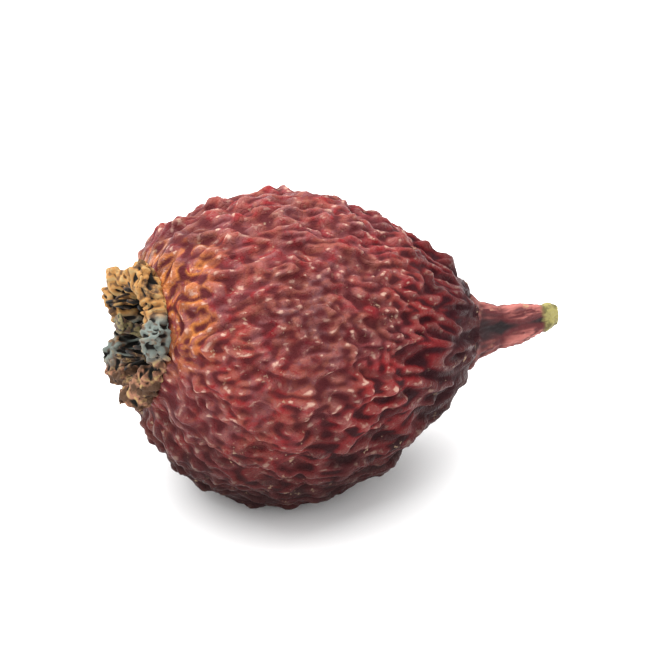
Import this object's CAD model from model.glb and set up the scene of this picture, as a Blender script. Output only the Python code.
# %% [markdown]
# # A dried hawthorn berry
# A haw is a small pome, like a tiny apple. As it dries, the flesh under the skin shrinks and the
# skin doesn't, so it crumples into a dense net of ridges that run roughly from the flower's end
# to the stalk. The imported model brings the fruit's real size, its broad folds, its crown, its
# style and its stalk. This script grows the fine surface over them and gives every surface its
# dried look.

# %% Load the fixed frame
import math

import bpy
import numpy as np
from mathutils import Matrix, Vector
from mathutils.kdtree import KDTree


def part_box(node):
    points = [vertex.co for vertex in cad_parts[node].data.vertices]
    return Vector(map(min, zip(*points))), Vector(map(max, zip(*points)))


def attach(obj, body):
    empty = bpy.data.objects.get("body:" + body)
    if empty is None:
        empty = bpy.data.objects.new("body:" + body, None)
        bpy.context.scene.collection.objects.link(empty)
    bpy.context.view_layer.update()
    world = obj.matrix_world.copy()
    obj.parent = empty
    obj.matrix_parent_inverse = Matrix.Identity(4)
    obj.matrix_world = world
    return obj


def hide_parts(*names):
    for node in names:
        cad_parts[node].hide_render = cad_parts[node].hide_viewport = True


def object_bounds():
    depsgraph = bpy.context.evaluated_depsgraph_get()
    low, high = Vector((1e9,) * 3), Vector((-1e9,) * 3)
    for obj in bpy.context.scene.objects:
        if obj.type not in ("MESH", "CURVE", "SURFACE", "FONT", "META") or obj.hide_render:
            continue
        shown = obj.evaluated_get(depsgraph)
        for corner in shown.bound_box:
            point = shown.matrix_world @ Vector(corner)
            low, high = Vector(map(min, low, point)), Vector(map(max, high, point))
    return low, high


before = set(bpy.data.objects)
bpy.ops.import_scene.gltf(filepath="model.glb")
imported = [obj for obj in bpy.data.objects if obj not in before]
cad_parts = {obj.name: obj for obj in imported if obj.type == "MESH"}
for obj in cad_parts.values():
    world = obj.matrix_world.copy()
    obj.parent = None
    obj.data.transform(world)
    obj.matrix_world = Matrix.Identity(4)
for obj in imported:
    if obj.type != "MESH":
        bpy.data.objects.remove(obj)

PER_METRE = 1000.0

cad_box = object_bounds()
print("fixed frame, mm:", [round(PER_METRE * size, 2) for size in cad_box[1] - cad_box[0]])

# %% [markdown]
# ## Working in millimetres
# The fruit is under 13 mm long with its stalk, and several of Blender's tools have limits made
# for larger things: a voxel can't be finer than 0.1 mm, for instance. So each fine piece is made
# a thousand times too large, where one unit is one millimetre, and its mesh is brought back to
# metres when it is finished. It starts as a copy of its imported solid, welded and then covered
# anew with an even net of small squares, so that wrinkles can grow anywhere on it.

# %% A fine copy of a solid
WELD_DISTANCE = 0.0005
RELAXING = 0.5


def select_only(piece):
    """Operators work on all that is selected, so everything else is deselected first."""
    bpy.ops.object.select_all(action="DESELECT")
    piece.select_set(True)
    bpy.context.view_layer.objects.active = piece


def enlarged_copy(node, name):
    """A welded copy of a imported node's mesh, in millimetres."""
    piece = bpy.data.objects.new(name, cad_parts[node].data.copy())
    bpy.context.scene.collection.objects.link(piece)
    piece.data.materials.clear()
    piece.data.transform(Matrix.Scale(PER_METRE, 4))
    select_only(piece)
    bpy.ops.object.mode_set(mode="EDIT")
    bpy.ops.mesh.select_all(action="SELECT")
    bpy.ops.mesh.remove_doubles(threshold=WELD_DISTANCE)
    bpy.ops.mesh.normals_make_consistent(inside=False)
    bpy.ops.object.mode_set(mode="OBJECT")
    return piece


def apply_modifier(piece, kind, **settings):
    """Adds one modifier with these settings and applies it."""
    select_only(piece)
    modifier = piece.modifiers.new(kind.lower(), kind)
    for setting, value in settings.items():
        setattr(modifier, setting, value)
    bpy.ops.object.modifier_apply(modifier=modifier.name)


def even_skin(piece, voxel, smoothing):
    """Lays an even net of small squares over the piece, and relaxes the steps that voxels leave."""
    apply_modifier(piece, "REMESH", mode="VOXEL", voxel_size=voxel, adaptivity=0.0)
    apply_modifier(piece, "SMOOTH", factor=RELAXING, iterations=smoothing)
    print(piece.name, "has", len(piece.data.vertices), "points")


# %% Cover the fruit with small squares
SKIN_VOXEL = 0.0625
SKIN_SMOOTHING = 11

berry_skin = enlarged_copy("berry", "berry_skin")
even_skin(berry_skin, SKIN_VOXEL, SKIN_SMOOTHING)


# %% Read and write the points of a mesh
def read_points(mesh, values="co"):
    """The places or normals of a mesh's points, one row each."""
    rows = np.empty(len(mesh.vertices) * 3, np.float32)
    mesh.vertices.foreach_get(values, rows)
    return rows.reshape(-1, 3).astype(float)


def write_points(mesh, places):
    mesh.vertices.foreach_set("co", places.astype(np.float32).ravel())
    mesh.update()


# %% [markdown]
# ## Where the crown and the stalk are
# Wrinkles, colours and stamens are all placed by the fruit's own axis, from the crown to the
# stalk. It tilts a little, because the fruit lies with its crown higher than its stalk. The ends
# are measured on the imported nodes, so they stay right if the model changes.

# %% Measure the fruit's axis and its ends
FRUIT_TILT = math.radians(11.5)
END_DEPTH = 0.02

fruit_axis = np.array((math.cos(FRUIT_TILT), 0, -math.sin(FRUIT_TILT)))


def end_middle(node, direction):
    """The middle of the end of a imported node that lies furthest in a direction, in millimetres."""
    places = PER_METRE * read_points(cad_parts[node].data)
    reach = places @ direction
    return places[reach > reach.max() - END_DEPTH].mean(axis=0)


crown_low, crown_high = (PER_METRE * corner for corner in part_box("calyx"))
crown_middle = np.array((crown_low + crown_high) / 2)
crown_seat = end_middle("berry", -fruit_axis)
stalk_foot = end_middle("stalk", -fruit_axis)
stalk_tip = end_middle("stalk", fruit_axis)
print("the stalk is", round(float(np.linalg.norm(stalk_tip - stalk_foot)), 2), "mm long")

# %% [markdown]
# ## How wrinkles grow
# Wrinkles of one width, that branch and end where they like, come from two things that pull
# against each other: a point rises with its near neighbours and sinks with those a little further
# off. Starting from noise and repeating that a few times grows a net much like the one on a
# drying fruit. Neighbours that lie along the fruit's axis count for more, so the ridges run
# lengthwise and gather at the ends. A noise texture could only imitate this; it can't make ridges
# that end, fork and close up to each other.


# %% Each point's neighbours
def neighbour_pairs(mesh):
    """Pairs of points that share an edge or lie across a square, both ways round."""
    edges = np.empty(len(mesh.edges) * 2, np.int32)
    mesh.edges.foreach_get("vertices", edges)
    corners = np.empty(len(mesh.loops), np.int32)
    mesh.loops.foreach_get("vertex_index", corners)
    starts = np.empty(len(mesh.polygons), np.int32)
    mesh.polygons.foreach_get("loop_start", starts)
    totals = np.empty(len(mesh.polygons), np.int32)
    mesh.polygons.foreach_get("loop_total", totals)
    square = starts[totals == 4]
    one_way = np.concatenate([
        edges.reshape(-1, 2),
        np.stack([corners[square], corners[square + 2]], axis=1),
        np.stack([corners[square + 1], corners[square + 3]], axis=1),
    ])
    return np.concatenate([one_way, one_way[:, ::-1]])


def nearest_points(places, *wanted):
    """For each wanted set of places, the numbers of the points that lie nearest to them."""
    tree = KDTree(len(places))
    for number, place in enumerate(places):
        tree.insert(place, number)
    tree.balance()
    return [np.array([tree.find(place)[1] for place in chosen]) for chosen in wanted]


# %% A net that smooths values over a mesh
TINY = 1e-9


class Net:
    """The points of a mesh, with the weight by which each neighbour counts in a smoothing.

    Stretch says how much more a neighbour in the direction along counts, and along may differ by
    point. With a reach, each point also knows the points that far ahead of it and behind it.
    """

    def __init__(self, mesh, along, stretch, reach=None):
        self.count = len(mesh.vertices)
        self.here, self.there = neighbour_pairs(mesh).T
        places = read_points(mesh)
        normals = read_points(mesh, "normal")
        along = np.broadcast_to(along, places.shape)
        flat = along - np.einsum("ij,ij->i", normals, along)[:, None] * normals
        flat /= np.linalg.norm(flat, axis=1)[:, None] + TINY
        step = places[self.there] - places[self.here]
        length = np.linalg.norm(step, axis=1) + TINY
        lengthwise = np.einsum("ij,ij->i", step, flat[self.here]) / length
        weight = (1 + stretch * lengthwise**2) / length
        total = np.bincount(self.here, weights=weight, minlength=self.count)
        self.weight = weight / np.maximum(total, TINY)[self.here]
        if reach:
            ends = places + reach * flat, places - reach * flat
            self.ahead, self.behind = nearest_points(places, *ends)

    def smoothed(self, values, rounds, drawn=None):
        """Drawn, 0 to 1 for each point, says how much values run together along the line."""
        for _ in range(rounds):
            mean = np.bincount(
                self.here, weights=self.weight * values[self.there], minlength=self.count
            )
            values = 0.5 * (values + mean)
            if drawn is not None:
                in_line = 0.5 * (values[self.ahead] + values[self.behind])
                values = values + drawn * (in_line - values)
        return values


# %% Grow ridges from noise
LAST_ROUNDS = 3


def grown_wrinkles(net, seed, near, far, growth, sharpness, drawn=None):
    """Ridges at 1 and grooves at -1, grown from noise on a net.

    Near and far are the rounds of smoothing that stand for a point's close and wider neighbours,
    and they set how broad a ridge is. Growth is how often the two pull, and sharpness how hard.
    """
    values = np.random.default_rng(seed).standard_normal(net.count)
    for _ in range(growth):
        close = net.smoothed(values, near, drawn)
        values = close - net.smoothed(close, far, drawn)
        values = np.tanh(sharpness * values / values.std())
    values = net.smoothed(values, LAST_ROUNDS)
    return values / np.abs(values).max()


# %% [markdown]
# ## The skin of the fruit
# Four nets of wrinkles are laid over each other. The main one gives the short, knobbly ridges,
# about 0.4 mm apart. It is blended from two that differ in width, so that no stretch looks like
# the next. Long furrows part them lengthwise, a wide net makes them swell and sink, and a very
# fine one pebbles them. Few rounds of growth keep the ridges short, as on the real skin; many
# would draw out a maze. Towards the stalk and low on the sides the values are drawn out along
# the fruit, so the ridges get longer there.

# %% Where the ridges run long
LENGTHWISE_PULL = 4.0
LINE_REACH = 0.14
LINED_SPAN = (0.40, 0.95)
LINED_LOWER = 0.07
HALF_HEIGHT = 4.2


def soft_step(low, high, values):
    """0 up to low and 1 from high, or the other way round, with a soft slope between."""
    share = np.clip((values - low) / (high - low), 0, 1)
    return share * share * (3 - 2 * share)


skin_places = read_points(berry_skin.data)
fruit_length = (stalk_foot - crown_middle) @ fruit_axis
towards_neck = (skin_places - crown_middle) @ fruit_axis / fruit_length
under_middle = HALF_HEIGHT - skin_places[:, 2]
lined = soft_step(*LINED_SPAN, towards_neck + LINED_LOWER * under_middle)
skin_net = Net(berry_skin.data, fruit_axis, LENGTHWISE_PULL, LINE_REACH)
print("ridges run long on", round(100 * float(lined.mean())), "% of the skin")

# %% Grow the four nets
DRAWN_RIDGES = (0.05, 0.32)
DRAWN_FURROWS = (0.33, 0.70)
DRIFT_SEED = 6
DRIFT_ROUNDS = 250
FULL_HEIGHT_PERCENTILE = 99

ridge_pull = np.interp(lined, (0, 1), DRAWN_RIDGES)
furrow_pull = np.interp(lined, (0, 1), DRAWN_FURROWS)
narrow = grown_wrinkles(
    skin_net, seed=11, near=4, far=8, growth=3, sharpness=1.1, drawn=ridge_pull
)
broad = grown_wrinkles(
    skin_net, seed=12, near=6, far=14, growth=3, sharpness=1.1, drawn=ridge_pull
)
swell = grown_wrinkles(skin_net, seed=4, near=26, far=60, growth=3, sharpness=0.8)
pebbles = grown_wrinkles(skin_net, seed=5, near=1, far=4, growth=1, sharpness=0.8)
furrows = grown_wrinkles(
    skin_net, seed=7, near=10, far=24, growth=3, sharpness=0.9, drawn=furrow_pull
)
drift = np.random.default_rng(DRIFT_SEED).standard_normal(skin_net.count)
drift = skin_net.smoothed(drift, DRIFT_ROUNDS)
blend = soft_step(-1.0, 1.0, drift / drift.std())
main = narrow * (1 - blend) + broad * blend
main /= np.percentile(np.abs(main), FULL_HEIGHT_PERCENTILE)
ridge = np.clip(0.5 + 0.5 * main, 0, 1)
print("the broad net covers", round(100 * float(blend.mean())), "% of the skin")

# %% [markdown]
# ## Lifting the skin
# Each net moves the points along their normals by its own height, in millimetres. Near the neck
# and under the crown the skin lies calm. The skin as a whole is tucked in a little, so that its
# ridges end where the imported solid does. The heights are also kept as attributes, which the
# skin's colours read later.

# %% Lift the ridges and press in the furrows
MAIN_HEIGHT = 0.135
RIDGE_SHARPNESS = 1.5
RIDGE_LEVEL = 0.40
SWELL_BASE = 0.85
SWELL_GAIN = 0.45
FURROW_DEPTH = 0.110
FURROW_LEVEL = 0.25
FURROW_SPAN = (0.05, 0.70)
SHORT_FURROW = 0.55
SWELL_HEIGHT = 0.045
PEBBLE_HEIGHT = 0.030
NECK_CALM = (0.5, 1.3)
CROWN_CALM = (1.9, 2.9)
CALM_HEIGHT = 0.35
SKIN_TUCK = 0.06
TUCK_SPAN = (0.2, 1.2)


def store(mesh, name, values):
    """Keeps one number for each point, for a material to read."""
    attribute = mesh.attributes.new(name, "FLOAT", "POINT")
    attribute.data.foreach_set("value", np.asarray(values, np.float32))


def never_under(low, share):
    """The same share, 0 to 1, squeezed into low to 1."""
    return low + (1 - low) * share


from_neck = np.linalg.norm(skin_places - stalk_foot, axis=1)
from_crown = np.linalg.norm(skin_places - crown_middle, axis=1)
calm = soft_step(*NECK_CALM, from_neck)
calm *= never_under(CALM_HEIGHT, soft_step(*CROWN_CALM, from_crown))
furrow = soft_step(*FURROW_SPAN, -furrows) * never_under(SHORT_FURROW, lined)
lift = MAIN_HEIGHT * (ridge**RIDGE_SHARPNESS - RIDGE_LEVEL) * (SWELL_BASE + SWELL_GAIN * swell)
lift += SWELL_HEIGHT * swell + PEBBLE_HEIGHT * pebbles - FURROW_DEPTH * (furrow - FURROW_LEVEL)
lift -= SKIN_TUCK * soft_step(*TUCK_SPAN, skin_places[:, 2])
lift = skin_net.smoothed(lift * calm, 1)
skin_places += read_points(berry_skin.data, "normal") * lift[:, None]
skin_places[:, 2] = np.maximum(skin_places[:, 2], 0)
write_points(berry_skin.data, skin_places)
store(berry_skin.data, "ridge", ridge)
store(berry_skin.data, "pebble", 0.5 + 0.5 * pebbles)
store(berry_skin.data, "furrow", furrow)
print("skin lifted by", round(lift.min(), 3), "to", round(lift.max(), 3), "mm")


# %% Bring a finished piece back to metres
def finish_piece(piece, slot, *nodes):
    """Puts a piece at its real size into the frame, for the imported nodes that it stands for."""
    piece.data.transform(Matrix.Scale(1 / PER_METRE, 4))
    select_only(piece)
    bpy.ops.object.shade_smooth()
    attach(piece, "root")
    if nodes:
        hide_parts(*nodes)


finish_piece(berry_skin, "skin", "berry")

# %% [markdown]
# ## The crown of dried sepals
# The flower's five sepals stay on the fruit as a crumpled crown round a little well. They are
# thin, brittle and much folded. Their solid is thick enough to be carved or cast, so here it is
# worn thinner towards the tips, crumpled by wide wrinkles and creased by narrow ones that run
# from root to tip. Its foot is let into the fruit, as grown. A second value, how deep a point
# lies in a hollow, lets the material darken the pits between the lobes.

# %% How deep a point lies in a hollow
HOLLOW_SPREAD = 4


def hollows(net, mesh, rounds):
    """How far each point lies under the smoothed surface round it, 0 on crests to 1 in pits."""
    places = read_points(mesh)
    normals = read_points(mesh, "normal")
    mean = np.stack([net.smoothed(places[:, axis], rounds) for axis in range(3)], axis=1)
    depth = np.einsum("ij,ij->i", mean - places, normals)
    return np.clip(0.5 + depth / (HOLLOW_SPREAD * depth.std()), 0, 1)


# %% Crumple and crease the crown
CROWN_VOXEL = 0.036
CROWN_SMOOTHING = 4
ROOT_TO_TIP_PULL = 8.0
CROWN_THINNING = 0.07
TIP_SPAN = (1.0, 2.0)
CRUMPLE_HEIGHT = 0.075
CREASE_HEIGHT = 0.035
FOOT_SINK = 0.12
FOOT_REACH = 0.30
PIT_ROUNDS = 90

crown = enlarged_copy("calyx", "crown")
even_skin(crown, CROWN_VOXEL, CROWN_SMOOTHING)
crown_places = read_points(crown.data)
crown_normals = read_points(crown.data, "normal")
from_middle = crown_places - crown_middle
height = -from_middle @ fruit_axis
root_to_tip = np.cross(crown_normals, np.cross(fruit_axis, from_middle))
crown_net = Net(crown.data, root_to_tip, ROOT_TO_TIP_PULL)
crumples = grown_wrinkles(crown_net, seed=22, near=16, far=40, growth=2, sharpness=0.8)
creases = grown_wrinkles(crown_net, seed=21, near=6, far=14, growth=3, sharpness=1.0)
from_axis = np.linalg.norm(from_middle + height[:, None] * fruit_axis, axis=1)
lift = CRUMPLE_HEIGHT * crumples + CREASE_HEIGHT * creases
lift -= CROWN_THINNING * soft_step(*TIP_SPAN, from_axis)
crown_places += crown_normals * lift[:, None]
over_seat = height + (crown_seat - crown_middle) @ fruit_axis
crown_places += FOOT_SINK * soft_step(FOOT_REACH, 0, over_seat)[:, None] * fruit_axis
write_points(crown.data, crown_places)
store(crown.data, "ridge", 0.5 + 0.5 * creases)
store(crown.data, "hollow", hollows(crown_net, crown.data, PIT_ROUNDS))
finish_piece(crown, "sepals", "calyx")
print("the sepals reach", round(from_axis.max(), 2), "mm from the crown's middle")

# %% [markdown]
# ## The stamens
# Inside the ring of sepals stand the stumps of the flower's stamens, dark threads with a knob where
# the anther dried on. Each is one small circle, extruded step by step, narrowed and swung a little
# each time, as one would draw it out by hand. Their feet are sunk into the wall of the well.

# %% Draw out one stamen
STAMEN_SIDES = 7
STAMEN_RADIUS = 0.052
STAMEN_STEPS = 6
STAMEN_TAPER = 0.92
STAMEN_TIP = 0.55
KNOB_FROM_TIP = 2


def drawn_stamen(name, length, swing, knob):
    """One stamen along +Z, leaning towards +X, in millimetres."""
    bpy.ops.object.select_all(action="DESELECT")
    bpy.ops.mesh.primitive_circle_add(
        vertices=STAMEN_SIDES, radius=STAMEN_RADIUS, fill_type="NGON"
    )
    stamen = bpy.context.object
    stamen.name = name
    bpy.ops.object.mode_set(mode="EDIT")
    bpy.ops.mesh.select_all(action="SELECT")
    lean = 0.0
    step = length / STAMEN_STEPS
    for steps_left in reversed(range(STAMEN_STEPS)):
        lean += swing / STAMEN_STEPS
        move = (step * math.sin(lean), 0, step * math.cos(lean))
        bpy.ops.mesh.extrude_region_move(TRANSFORM_OT_translate={"value": move})
        width = {KNOB_FROM_TIP: knob, 0: STAMEN_TIP}.get(steps_left, STAMEN_TAPER)
        bpy.ops.transform.resize(value=(width, width, width))
    bpy.ops.mesh.select_all(action="SELECT")
    bpy.ops.mesh.normals_make_consistent(inside=False)
    bpy.ops.object.mode_set(mode="OBJECT")
    return stamen


# %% Plant a ring of stamens
STAMENS = 17
STAMEN_SEED = 71
STAMEN_LENGTHS = (0.45, 0.85)
STAMEN_SWINGS = (-0.9, 1.1)
STAMEN_KNOBS = (1.3, 2.0)
UNEVEN_TURN = 0.3
RING_RADIUS = 1.00
RING_SPREAD = (0.86, 1.06)
RIM_RISE = 0.05

chance = np.random.default_rng(STAMEN_SEED)
rim_height = (crown_seat - RIM_RISE * fruit_axis - crown_middle) @ fruit_axis
well_rim = crown_middle + fruit_axis * rim_height
towards_flower = Vector(-fruit_axis)
stamens = []
for index in range(STAMENS):
    turn = math.tau * (index + chance.uniform(-UNEVEN_TURN, UNEVEN_TURN)) / STAMENS
    length = chance.uniform(*STAMEN_LENGTHS)
    swing = chance.uniform(*STAMEN_SWINGS)
    stamen = drawn_stamen(f"stamen_{index}", length, swing, chance.uniform(*STAMEN_KNOBS))
    across = towards_flower.orthogonal().normalized()
    across.rotate(Matrix.Rotation(turn, 3, towards_flower))
    beside = towards_flower.cross(across)
    root = Vector(well_rim) + across * RING_RADIUS * chance.uniform(*RING_SPREAD)
    stand = Matrix((across, beside, towards_flower)).transposed().to_4x4()
    stamen.data.transform(Matrix.Translation(root) @ stand)
    stamens.append(stamen)
bpy.ops.object.select_all(action="DESELECT")
for stamen in stamens:
    stamen.select_set(True)
stamen_ring = stamens[0]
bpy.context.view_layer.objects.active = stamen_ring
bpy.ops.object.join()
stamen_ring.name = "stamens"
apply_modifier(stamen_ring, "SUBSURF", levels=1, render_levels=1)
finish_piece(stamen_ring, "style")
print("stamens:", STAMENS, "with", len(stamen_ring.data.polygons), "faces")

# %% [markdown]
# ## The stalk and the style
# The stalk dried harder than the fruit, so it kept its form and its bark sank in between the
# ribs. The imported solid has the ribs; here they are sharpened, fibres are grown along them, and
# the foot is widened and let into the neck, so that stalk and skin are one surface to the eye.
# The style, which stands in the crown's well, gets the same grain.

# %% Rib and grain the stalk
STALK_VOXEL = 0.03
STALK_SMOOTHING = 3
FIBRE_PULL = 90.0
GRAIN_HEIGHT = 0.016
RIB_LIFT = 0.24
RIB_ROUNDS = 160
RIB_END = (2.3, 1.9)
STALK_SINK = 0.22
STALK_FLARE = 0.10
FLARE_REACH = 0.65

stalk_bark = enlarged_copy("stalk", "stalk_bark")
even_skin(stalk_bark, STALK_VOXEL, STALK_SMOOTHING)
stalk_net = Net(stalk_bark.data, stalk_tip - stalk_foot, FIBRE_PULL)
fibres = grown_wrinkles(stalk_net, seed=31, near=3, far=8, growth=4, sharpness=1.0)
ribs = 0.5 - hollows(stalk_net, stalk_bark.data, RIB_ROUNDS)
stalk_places = read_points(stalk_bark.data)
from_foot = (stalk_places - stalk_foot) @ fruit_axis
outwards = stalk_places - stalk_foot - from_foot[:, None] * fruit_axis
near_foot = soft_step(FLARE_REACH, 0, from_foot)
lift = RIB_LIFT * ribs * soft_step(*RIB_END, from_foot) + GRAIN_HEIGHT * fibres
stalk_places += read_points(stalk_bark.data, "normal") * lift[:, None]
stalk_places += outwards * (STALK_FLARE * near_foot**2)[:, None]
stalk_places -= STALK_SINK * near_foot[:, None] * fruit_axis
write_points(stalk_bark.data, stalk_places)
store(stalk_bark.data, "ridge", 0.5 + 0.5 * fibres)
store(stalk_bark.data, "hollow", 0.5 - ribs)
finish_piece(stalk_bark, "bark", "stalk")

# %% Grain the style
STYLE_PULL = 8.0

style_stub = enlarged_copy("style", "style_stub")
even_skin(style_stub, STALK_VOXEL, STALK_SMOOTHING)
style_net = Net(style_stub.data, fruit_axis, STYLE_PULL)
style_grain = grown_wrinkles(style_net, seed=41, near=4, far=9, growth=4, sharpness=1.0)
style_places = read_points(style_stub.data)
style_places += read_points(style_stub.data, "normal") * (GRAIN_HEIGHT * style_grain)[:, None]
write_points(style_stub.data, style_places)
store(style_stub.data, "ridge", 0.5 + 0.5 * style_grain)
finish_piece(style_stub, "style", "style")

# %% [markdown]
# ## Materials
# Every material works in millimetres on the piece's own coordinates, so a pattern keeps its real
# size, and it reads the heights that were kept with the mesh. A material is a stack of colours:
# each step lays one more colour over those before it, with a mask that says where.


# %% Small helpers for node trees
def set_inputs(node, values):
    for socket, value in values.items():
        node.inputs[socket].default_value = value
    return node


class Tree:
    """A node tree and short ways to add to it."""

    def __init__(self, tree, name):
        self.tree = tree
        self.name = name

    def add(self, kind, values=None, **settings):
        node = self.tree.nodes.new(kind)
        for setting, value in settings.items():
            setattr(node, setting, value)
        return set_inputs(node, values or {})

    def link(self, output, socket):
        self.tree.links.new(output, socket)

    def fill(self, socket, value):
        """Links another node's output to a socket, or sets the socket to a number or a colour."""
        if isinstance(value, bpy.types.NodeSocket):
            self.link(value, socket)
        else:
            socket.default_value = value if isinstance(value, float) else (*value, 1)

    def millimetres(self):
        place = self.add("ShaderNodeTexCoord")
        scale = self.add("ShaderNodeMapping", {"Scale": (PER_METRE,) * 3})
        self.link(place.outputs["Object"], scale.inputs["Vector"])
        return scale.outputs["Vector"]

    def attribute(self, name):
        return self.add("ShaderNodeAttribute", attribute_name=name).outputs["Fac"]

    def noise(self, place, scale, detail=3.0, roughness=0.6, distortion=0.0):
        values = {
            "Scale": scale, "Detail": detail, "Roughness": roughness, "Distortion": distortion
        }
        node = self.add("ShaderNodeTexNoise", values)
        self.link(place, node.inputs["Vector"])
        return node.outputs["Fac"]

    def span(self, value, low, high, to_low=0.0, to_high=1.0):
        """A soft slope: to_low where the value is low, to_high where it is high."""
        values = {"From Min": low, "From Max": high, "To Min": to_low, "To Max": to_high}
        node = self.add("ShaderNodeMapRange", values, interpolation_type="SMOOTHSTEP")
        self.link(value, node.inputs["Value"])
        return node.outputs["Result"]

    def calculate(self, operation, first, second):
        node = self.add("ShaderNodeMath", operation=operation)
        self.link(first, node.inputs[0])
        self.fill(node.inputs[1], second)
        return node.outputs["Value"]

    def times(self, first, second):
        return self.calculate("MULTIPLY", first, second)

    def plus(self, first, second):
        return self.calculate("ADD", first, second)

    def mix(self, share, first, second):
        """A colour between two: sockets 0, 6 and 7 are the share and the two colours."""
        node = self.add("ShaderNodeMix", data_type="RGBA", clamp_factor=True)
        for number, value in ((0, share), (6, first), (7, second)):
            self.fill(node.inputs[number], value)
        return node.outputs[2]

    def group(self, group, **values):
        node = self.add("ShaderNodeGroup", node_tree=group)
        for name, value in values.items():
            self.fill(node.inputs[name.replace("_", " ")], value)
        return node

    def axis_share(self, place, start, end):
        """How far along the line from start to end a point lies, 0 to 1, in millimetres."""
        line = Vector(end) - Vector(start)
        from_start = self.add("ShaderNodeVectorMath", operation="SUBTRACT")
        from_start.inputs[1].default_value = start
        self.link(place, from_start.inputs[0])
        along = self.add("ShaderNodeVectorMath", operation="DOT_PRODUCT")
        along.inputs[1].default_value = line / line.length_squared
        self.link(from_start.outputs["Vector"], along.inputs[0])
        return along.outputs["Value"]

    def distance(self, place, centre):
        node = self.add("ShaderNodeVectorMath", operation="DISTANCE")
        node.inputs[1].default_value = centre
        self.link(place, node.inputs[0])
        return node.outputs["Value"]


# %% [markdown]
# ## Specks and grain
# The fine grain for the bump, which no mesh can hold, is in every material of the fruit, so it is
# built once as a node group and gets its own values in each. The tan specks on the skin, its
# breathing pores and crumbs of dry flesh, are a group too, ready for any other dried fruit.


# %% Start a group or a material
def new_group(name, inputs, output):
    """A node group with (name, kind, value) for each input and one number as its output."""
    group = bpy.data.node_groups.new(name, "ShaderNodeTree")
    for socket_name, kind, value in inputs:
        socket = group.interface.new_socket(socket_name, in_out="INPUT", socket_type=kind)
        if value is not None:
            socket.default_value = value
    group.interface.new_socket(output, in_out="OUTPUT", socket_type="NodeSocketFloat")
    tree = Tree(group, name)
    return tree, tree.add("NodeGroupInput"), tree.add("NodeGroupOutput")


def new_material(name, piece):
    material = bpy.data.materials.new(name)
    material.use_nodes = True
    piece.data.materials.append(material)
    return Tree(material.node_tree, name), material.node_tree.nodes["Principled BSDF"]


# %% Pale specks
SPECK_EDGE = 14.0
SPECK_PATCHES = (0.40, 0.62)
PATCH_SCALE = 0.55

specks, given, result = new_group(
    "pale_specks",
    [
        ("Place", "NodeSocketVector", None),
        ("Per Millimetre", "NodeSocketFloat", 2.0),
        ("Threshold", "NodeSocketFloat", 0.62),
        ("Amount", "NodeSocketFloat", 1.0),
    ],
    "Mask",
)
crumbs = specks.add("ShaderNodeTexNoise", {"Detail": 3.0, "Roughness": 0.7})
specks.link(given.outputs["Place"], crumbs.inputs["Vector"])
specks.link(given.outputs["Per Millimetre"], crumbs.inputs["Scale"])
over = specks.calculate("SUBTRACT", crumbs.outputs["Fac"], given.outputs["Threshold"])
edge = specks.span(specks.times(over, SPECK_EDGE), 0.0, 1.0)
patches = specks.span(specks.noise(given.outputs["Place"], PATCH_SCALE, 2.0), *SPECK_PATCHES)
mask = specks.times(specks.times(edge, patches), given.outputs["Amount"])
specks.link(mask, result.inputs["Mask"])
pale_specks = specks.tree

# %% Dry grain
CRACK_WIDTH = 0.18

grains, given, result = new_group(
    "dry_grain",
    [
        ("Place", "NodeSocketVector", None),
        ("Per Millimetre", "NodeSocketFloat", 9.0),
        ("Crinkle", "NodeSocketFloat", 0.5),
    ],
    "Height",
)
fine_noise = grains.add(
    "ShaderNodeTexNoise", {"Detail": 4.0, "Roughness": 0.62, "Distortion": 0.6}
)
crackle = grains.add("ShaderNodeTexVoronoi", feature="DISTANCE_TO_EDGE")
for pattern in (fine_noise, crackle):
    grains.link(given.outputs["Place"], pattern.inputs["Vector"])
    grains.link(given.outputs["Per Millimetre"], pattern.inputs["Scale"])
crinkle = grains.span(crackle.outputs["Distance"], 0.0, CRACK_WIDTH)
crinkle = grains.times(crinkle, given.outputs["Crinkle"])
grains.link(grains.plus(fine_noise.outputs["Fac"], crinkle), result.inputs["Height"])
dry_grain = grains.tree
print("node groups:", pale_specks.name, dry_grain.name)


# %% Finish a material with its gloss and its grain
def finish_material(tree, shader, colour, roughness, specular=None):
    tree.link(colour, shader.inputs["Base Color"])
    tree.link(roughness, shader.inputs["Roughness"])
    if specular is not None:
        set_inputs(shader, {"Specular IOR Level": specular})
    print("material", tree.name, "has", len(tree.tree.nodes), "nodes")


def add_grain_bump(tree, shader, place, per_millimetre, crinkle, strength, depth_mm):
    grain = tree.group(dry_grain, Place=place, Per_Millimetre=per_millimetre, Crinkle=crinkle)
    bump = tree.add("ShaderNodeBump", {"Strength": strength, "Distance": depth_mm / PER_METRE})
    tree.link(grain.outputs["Height"], bump.inputs["Height"])
    tree.link(bump.outputs["Normal"], shader.inputs["Normal"])


# %% [markdown]
# ## The colours of the skin
# Grooves are deep maroon and hold no light, flanks are crimson, and the crests are worn to a
# dull, greyish pink, with cream crusts on the highest, where dried sugar and wax catch the light.
# The top has a mauve and salmon bloom. The end by the crown is blushed orange-tan, and the
# underside and the neck are a burgundy near to brown. Each span gives the value of a pattern at
# which a colour begins to come in, and the one at which it is full.

# %% The skin's flesh and its bloom
CRIMSON = (0.240, 0.010, 0.013)
BURGUNDY = (0.095, 0.006, 0.010)
MAUVE = (0.145, 0.066, 0.070)
SALMON = (0.235, 0.080, 0.052)
CRIMSON_SPAN = (0.36, 0.62)
SALMON_SPAN = (0.42, 0.58)
BLOOM_FROM, BLOOM_TO = (1.6, 0, 3.6), (-1.6, 0, 7.4)
BLOOM_RISE = (0.1, 0.9)
BLOOM_SPAN = (0.30, 0.62)
BLOOM_SHARE = 0.72

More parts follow.
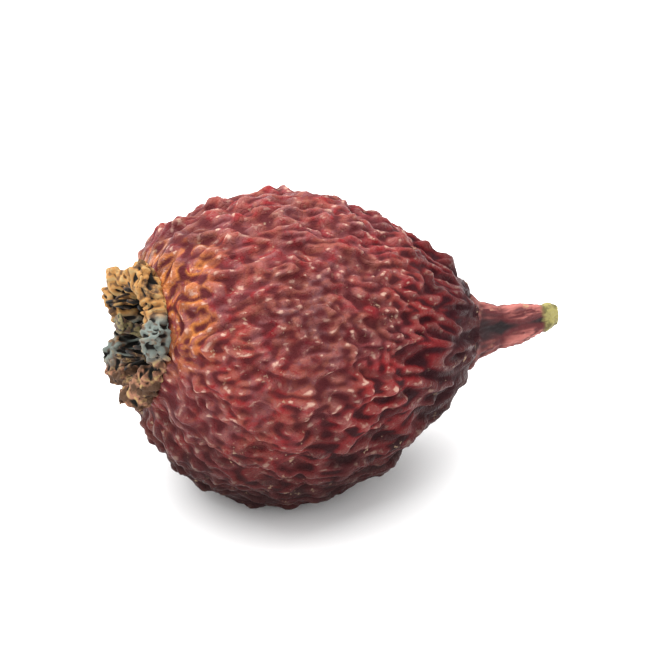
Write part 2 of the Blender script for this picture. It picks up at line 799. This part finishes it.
tree, shader = new_material("wrinkled_skin", berry_skin)
place = tree.millimetres()
tone = tree.noise(place, 0.42, detail=2.0, roughness=0.5)
mottle = tree.noise(place, 2.4, detail=4.0, roughness=0.65, distortion=0.4)
warmth = tree.noise(place, 1.3, detail=4.0, roughness=0.70, distortion=0.8)
flesh = tree.mix(tree.span(tone, *CRIMSON_SPAN), BURGUNDY, CRIMSON)
veil = tree.mix(tree.span(warmth, *SALMON_SPAN), MAUVE, SALMON)
topside = tree.span(tree.axis_share(place, BLOOM_FROM, BLOOM_TO), *BLOOM_RISE)
bloom = tree.times(topside, tree.span(mottle, *BLOOM_SPAN))
flesh = tree.mix(tree.times(bloom, BLOOM_SHARE), flesh, veil)

# %% The blush by the crown
HIGHEST_SEPAL = np.array((0.0, 1.10, 1.65))
BLUSH = (0.520, 0.182, 0.040)
BLUSH_REACH = (3.5, 2.5)
BLUSH_LOW = (0.12, 0.36)
BLUSH_HIGH = (1.12, 0.86)
BLUSH_SPAN = (0.42, 0.56)
BLUSH_SHARE = 0.92


def crown_rise(tree, place):
    """0 at the lowest sepal and 1 at the highest, where most light falls."""
    return tree.axis_share(place, crown_middle - HIGHEST_SEPAL, crown_middle + HIGHEST_SEPAL)


near_crown = tree.span(tree.distance(place, crown_middle), *BLUSH_REACH)
rise = crown_rise(tree, place)
high_side = tree.times(tree.span(rise, *BLUSH_LOW), tree.span(rise, *BLUSH_HIGH))
blush = tree.times(tree.times(near_crown, high_side), tree.span(warmth, *BLUSH_SPAN))
flesh = tree.mix(tree.times(blush, BLUSH_SHARE), flesh, BLUSH)

# %% Worn crests and cream crusts
CREST = (0.330, 0.105, 0.088)
CREAM = (0.660, 0.430, 0.330)
CREST_RIDGES = (0.42, 0.95)
CREST_SPAN = (0.26, 0.62)
CREST_SHARE = 0.50
CREAM_RIDGES = (0.50, 0.86)
CREAM_PEBBLES = (0.55, 0.75)
CREAM_SHARE = 0.68

skin_ridge = tree.attribute("ridge")
crest = tree.times(tree.span(skin_ridge, *CREST_RIDGES), tree.span(mottle, *CREST_SPAN))
flesh = tree.mix(tree.times(crest, CREST_SHARE), flesh, CREST)
pebble = tree.span(tree.attribute("pebble"), *CREAM_PEBBLES)
crust = tree.times(tree.span(skin_ridge, *CREAM_RIDGES), pebble)
flesh = tree.mix(tree.times(crust, CREAM_SHARE), flesh, CREAM)

# %% Dark neck, grooves and underside
NECK_DARK = (0.032, 0.003, 0.0045)
NECK_SPAN = (0.60, 0.95)
NECK_SHARE = 0.85
GROOVE = (0.022, 0.0015, 0.004)
VEILED_GROOVE = (0.080, 0.012, 0.014)
GROOVE_RIDGES = (0.56, 0.04)
FURROW_SHARE = 0.94
UNDERSIDE = (0.018, 0.0065, 0.0065)
SHADE_FROM, SHADE_TO = (0, 0, 5.8), (0, 0, 0.9)
SHADE_SHARE = 0.88

neck = tree.span(tree.axis_share(place, crown_middle, stalk_foot), *NECK_SPAN)
flesh = tree.mix(tree.times(neck, NECK_SHARE), flesh, NECK_DARK)
shadowed = tree.mix(topside, GROOVE, VEILED_GROOVE)
flesh = tree.mix(tree.span(skin_ridge, *GROOVE_RIDGES), flesh, shadowed)
flesh = tree.mix(tree.times(tree.attribute("furrow"), FURROW_SHARE), flesh, shadowed)
low_shade = tree.span(tree.axis_share(place, SHADE_FROM, SHADE_TO), 0.0, 1.0)
flesh = tree.mix(tree.times(low_shade, SHADE_SHARE), flesh, UNDERSIDE)

# %% The skin's specks, gloss and grain
SPECK = (0.42, 0.29, 0.19)
SKIN_ROUGHNESS = (0.75, 0.36)
ROUGH_RIDGES = (0.2, 0.8)

speckles = tree.group(
    pale_specks, Place=place, Per_Millimetre=3.0, Threshold=0.62, Amount=0.6
)
flesh = tree.mix(speckles.outputs["Mask"], flesh, SPECK)
roughness = tree.span(skin_ridge, *ROUGH_RIDGES, *SKIN_ROUGHNESS)
add_grain_bump(
    tree, shader, place, per_millimetre=7.0, crinkle=0.5, strength=0.60, depth_mm=0.045
)
finish_material(tree, shader, flesh, roughness, specular=0.11)

# %% [markdown]
# ## The colours of the crown
# The five sepals weathered unlike each other. The upper ones are orange-tan, the one that faces
# the near side is bleached to a grey-green, and the lower ones are brown with pinkish tan edges.
# All are near black in their folds. So the colour goes by a line from the lowest sepal to the
# highest, and the grey stays near the seat, where a sepal is thickest.

# %% The crown
PIT = (0.006, 0.005, 0.004)
SEPAL_BROWN = (0.080, 0.040, 0.022)
SEPAL_ORANGE = (0.430, 0.215, 0.068)
SEPAL_ROSE = (0.330, 0.155, 0.095)
SEPAL_STRAW = (0.410, 0.270, 0.115)
ORANGE_RISE = (0.30, 0.55)
STRAW_RIDGES = (0.55, 0.95)
DRY_RISE = 0.20
DRY_SPAN = (0.48, 0.64)
STREAK_SPAN = (0.3, 0.7)
DRY_ROUGHNESS = (0.6, 0.9)

tree, shader = new_material("dry_sepals", crown)
place = tree.millimetres()
streak = tree.noise(place, 2.6, detail=3.0, roughness=0.6)
sepal_ridge = tree.attribute("ridge")
rise = crown_rise(tree, place)
sepal = tree.mix(tree.span(rise, *ORANGE_RISE), SEPAL_ROSE, SEPAL_ORANGE)
sepal = tree.mix(tree.span(sepal_ridge, *STRAW_RIDGES), sepal, SEPAL_STRAW)
dry = tree.plus(streak, tree.times(rise, DRY_RISE))
sepal = tree.mix(tree.span(dry, *DRY_SPAN), SEPAL_BROWN, sepal)

# %% The bleached sepal, and the dark folds of them all
SEPAL_GREY = (0.165, 0.190, 0.170)
GREY_LOW = (0.24, 0.34)
GREY_HIGH = (0.62, 0.52)
GREY_SEAT = (0.95, 0.55)
GREY_SPAN = (0.36, 0.46)
CREASE_RIDGES = (0.44, 0.10)
CREASE_SHARE = 0.80
PIT_HOLLOWS = (0.46, 0.62)

blotch = tree.noise(place, 1.1, detail=3.0, roughness=0.6, distortion=0.5)
band = tree.times(tree.span(rise, *GREY_LOW), tree.span(rise, *GREY_HIGH))
seat = tree.span(tree.axis_share(place, crown_middle, crown_middle - fruit_axis), *GREY_SEAT)
grey = tree.times(tree.times(band, seat), tree.span(blotch, *GREY_SPAN))
sepal = tree.mix(grey, sepal, SEPAL_GREY)
crease = tree.times(tree.span(sepal_ridge, *CREASE_RIDGES), CREASE_SHARE)
sepal = tree.mix(crease, sepal, SEPAL_BROWN)
sepal = tree.mix(tree.span(tree.attribute("hollow"), *PIT_HOLLOWS), sepal, PIT)
roughness = tree.span(streak, *STREAK_SPAN, *DRY_ROUGHNESS)
add_grain_bump(
    tree, shader, place, per_millimetre=14.0, crinkle=0.5, strength=0.6, depth_mm=0.02
)
finish_material(tree, shader, sepal, roughness, specular=0.20)

# %% [markdown]
# ## The colours of the stalk
# The bark is dark red between the ribs and a worn, streaky pink on them, with straw patches where
# it has rubbed through. It gets darker towards the neck. The broken tip shows the pith,
# yellow-green and torn along an uneven edge. The streaks come from a noise that is stretched
# along the stalk.

# %% The stalk's bark
STREAK_SHAPE = (0.14, 1.0, 1.0)
BARK = (0.085, 0.010, 0.012)
BARK_RIB = (0.400, 0.125, 0.105)
BARK_GROOVE = (0.009, 0.003, 0.004)
BARK_STRAW = (0.380, 0.230, 0.125)
RIB_HOLLOWS = (0.46, 0.20)
RIB_SPAN = (0.40, 0.58)
STRAW_SPAN = (0.56, 0.66)
GROOVE_HOLLOWS = (0.47, 0.60)

tree, shader = new_material("stalk_bark", stalk_bark)
place = tree.millimetres()
blotch = tree.noise(place, 3.2, detail=4.0, roughness=0.65)
lengthwise = tree.add("ShaderNodeMapping", {"Scale": STREAK_SHAPE})
tree.link(place, lengthwise.inputs["Vector"])
streak = tree.noise(lengthwise.outputs["Vector"], 5.0, detail=3.0, roughness=0.6)
stalk_hollow = tree.attribute("hollow")
rib = tree.times(tree.span(stalk_hollow, *RIB_HOLLOWS), tree.span(streak, *RIB_SPAN))
bark = tree.mix(rib, BARK, BARK_RIB)
bark = tree.mix(tree.times(rib, tree.span(blotch, *STRAW_SPAN)), bark, BARK_STRAW)
bark = tree.mix(tree.span(stalk_hollow, *GROOVE_HOLLOWS), bark, BARK_GROOVE)

# %% The stalk's dark foot and torn tip
PITH = (0.300, 0.262, 0.085)
PITH_SHADE = (0.115, 0.096, 0.032)
FOOT_SPAN = (0.40, 0.04)
FOOT_HOLLOWS = (0.30, 0.48)
JOIN_SPAN = (0.18, 0.0)
JOIN_SHARE = 0.6
PITH_SPAN = (0.58, 0.42)
TORN_STREAKS = 0.16
TORN_SPAN = (0.85, 0.92)
BARK_ROUGHNESS = (0.45, 0.75)

along_stalk = tree.axis_share(place, stalk_foot, stalk_tip)
foot = tree.times(tree.span(along_stalk, *FOOT_SPAN), tree.span(stalk_hollow, *FOOT_HOLLOWS))
bark = tree.mix(foot, bark, BARK_GROOVE)
bark = tree.mix(tree.times(tree.span(along_stalk, *JOIN_SPAN), JOIN_SHARE), bark, NECK_DARK)
pith = tree.mix(tree.span(blotch, *PITH_SPAN), PITH, PITH_SHADE)
torn = tree.plus(along_stalk, tree.times(streak, TORN_STREAKS))
bark = tree.mix(tree.span(torn, *TORN_SPAN), bark, pith)
roughness = tree.span(streak, *STREAK_SPAN, *BARK_ROUGHNESS)
add_grain_bump(
    tree, shader, place, per_millimetre=12.0, crinkle=0.3, strength=0.5, depth_mm=0.02
)
finish_material(tree, shader, bark, roughness, specular=0.30)

# %% [markdown]
# ## The colours in the well
# The style is a dull olive stump, brown in places and near black in its cracks. The stamens are
# nearly black threads, with brown and straw left in patches.

# %% The style
OLIVE_KNOB = (0.200, 0.165, 0.070)
OLIVE_SPAN = (0.40, 0.60)
CRACK_RIDGES = (0.5, 0.1)

tree, shader = new_material("dry_style", style_stub)
place = tree.millimetres()
streak = tree.noise(place, 5.0, detail=4.0, roughness=0.65)
stub = tree.mix(tree.span(streak, *OLIVE_SPAN), SEPAL_BROWN, OLIVE_KNOB)
stub = tree.mix(tree.span(tree.attribute("ridge"), *CRACK_RIDGES), stub, PIT)
roughness = tree.span(streak, *STREAK_SPAN, *DRY_ROUGHNESS)
add_grain_bump(
    tree, shader, place, per_millimetre=14.0, crinkle=0.4, strength=0.5, depth_mm=0.02
)
finish_material(tree, shader, stub, roughness)

# %% The stamens
BROWN_SPAN = (0.46, 0.60)
PALE_SPAN = (0.56, 0.66)

tree, shader = new_material("dry_stamens", stamen_ring)
place = tree.millimetres()
streak = tree.noise(place, 3.0, detail=3.0, roughness=0.6)
thread = tree.mix(tree.span(streak, *BROWN_SPAN), PIT, SEPAL_BROWN)
thread = tree.mix(tree.span(streak, *PALE_SPAN), thread, SEPAL_STRAW)
roughness = tree.span(streak, *STREAK_SPAN, *DRY_ROUGHNESS)
add_grain_bump(
    tree, shader, place, per_millimetre=16.0, crinkle=0.4, strength=0.5, depth_mm=0.015
)
finish_material(tree, shader, thread, roughness)

# %% [markdown]
# ## A white studio
# The fruit lies on a plain white sheet in a white world, under one wide, soft lamp above it and a
# little behind. They leave only a faint shadow where it touches. The sheet is bright enough to
# come out white, as in a packshot.

# %% The floor and the world
FLOOR_WIDTH = 3.0
FLOOR_WHITE = (0.94, 0.94, 0.94, 1)
FLOOR_ROUGHNESS = 0.9
WORLD_STRENGTH = 1.15

bpy.ops.object.select_all(action="DESELECT")
bpy.ops.mesh.primitive_plane_add(size=FLOOR_WIDTH, location=(0, 0, 0))
floor = bpy.context.object
floor.name = "floor"
tree, shader = new_material("white_sheet", floor)
set_inputs(shader, {"Base Color": FLOOR_WHITE, "Roughness": FLOOR_ROUGHNESS})

world = bpy.data.worlds.new("studio")
bpy.context.scene.world = world
world.use_nodes = True
background = world.node_tree.nodes["Background"]
set_inputs(background, {"Color": (1, 1, 1, 1), "Strength": WORLD_STRENGTH})

# %% The lamp
LAMP_PLACE = (-0.03, 0.08, 0.24)
LAMP_SIZE = 0.45
LAMP_POWER = 1.75
FRUIT_HEART = Vector((0, 0, 0.004))

bpy.ops.object.light_add(type="AREA", location=LAMP_PLACE)
lamp = bpy.context.object
lamp.name = "key"
lamp.data.size = LAMP_SIZE
lamp.data.energy = LAMP_POWER
lamp.rotation_euler = (FRUIT_HEART - Vector(LAMP_PLACE)).to_track_quat("-Z", "Y").to_euler()

# %% [markdown]
# ## The camera
# The picture was taken from about 35 degrees above the ground with a long lens, from a little to
# the crown's side. A long lens far away keeps the fruit's ends at one size.

# %% The camera
AZIMUTH = math.radians(-18)
ELEVATION = math.radians(35)
CAMERA_DISTANCE = 0.25
FRAME_WIDTH = 0.0178
SENSOR_WIDTH = 36

target = (cad_box[0] + cad_box[1]) / 2
back = Vector((
    math.sin(AZIMUTH) * math.cos(ELEVATION),
    -math.cos(AZIMUTH) * math.cos(ELEVATION),
    math.sin(ELEVATION),
))
bpy.ops.object.camera_add(location=target + back * CAMERA_DISTANCE)
camera = bpy.context.object
camera.rotation_euler = (-back).to_track_quat("-Z", "Y").to_euler()
camera.data.sensor_width = SENSOR_WIDTH
camera.data.lens = SENSOR_WIDTH * CAMERA_DISTANCE / FRAME_WIDTH
camera.data.clip_start = 0.01
camera.data.clip_end = 10
bpy.context.scene.camera = camera
bpy.context.scene.view_settings.view_transform = "Standard"
print("lens, mm:", round(camera.data.lens))
